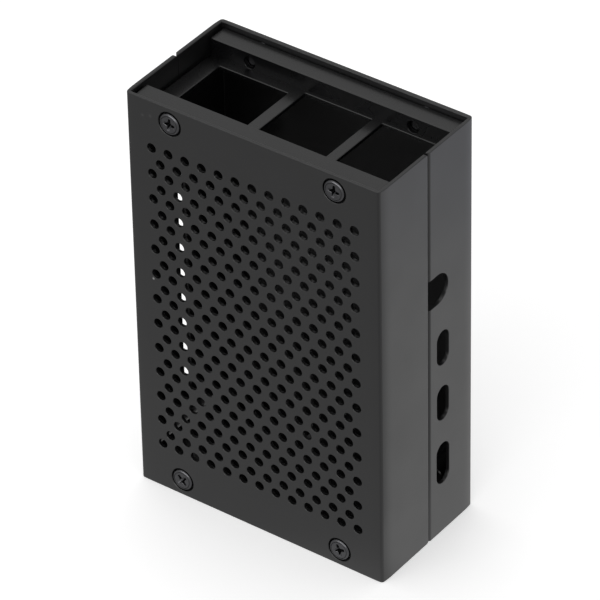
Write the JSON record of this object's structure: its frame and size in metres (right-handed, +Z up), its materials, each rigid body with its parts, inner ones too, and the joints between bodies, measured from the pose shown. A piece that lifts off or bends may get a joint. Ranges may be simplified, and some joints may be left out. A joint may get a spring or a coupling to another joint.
{
  "type": "single board computer case",
  "caption": "Upright folded aluminium case for a credit-card-size single board computer, with a perforated face, port slots in one side and port windows in its open end.",
  "frame": {"origin": "middle of the bottom of the case, at the card-slot end that it stands on", "axes": "+Z up towards the network and USB end, -Y out of the perforated face, +X towards the side with the power and display ports"},
  "size_m": [0.06, 0.031, 0.094],
  "materials": {
    "cover_sheet": "black anodised, satin",
    "end_channel": "black anodised, satin",
    "screw": "black zinc plated",
    "standoff": "black anodised, satin"
  },
  "bodies": {
    "root": {"front_cover": "cover_sheet", "back_cover": "cover_sheet", "end_frame_ports": "end_channel", "end_frame_card": "end_channel", "front_screw_1": "screw", "front_screw_2": "screw", "front_screw_3": "screw", "front_screw_4": "screw", "back_screw_1": "screw", "back_screw_2": "screw", "back_screw_3": "screw", "back_screw_4": "screw", "standoff_1": "standoff", "standoff_2": "standoff", "standoff_3": "standoff", "standoff_4": "standoff"}
  },
  "joints": []
}
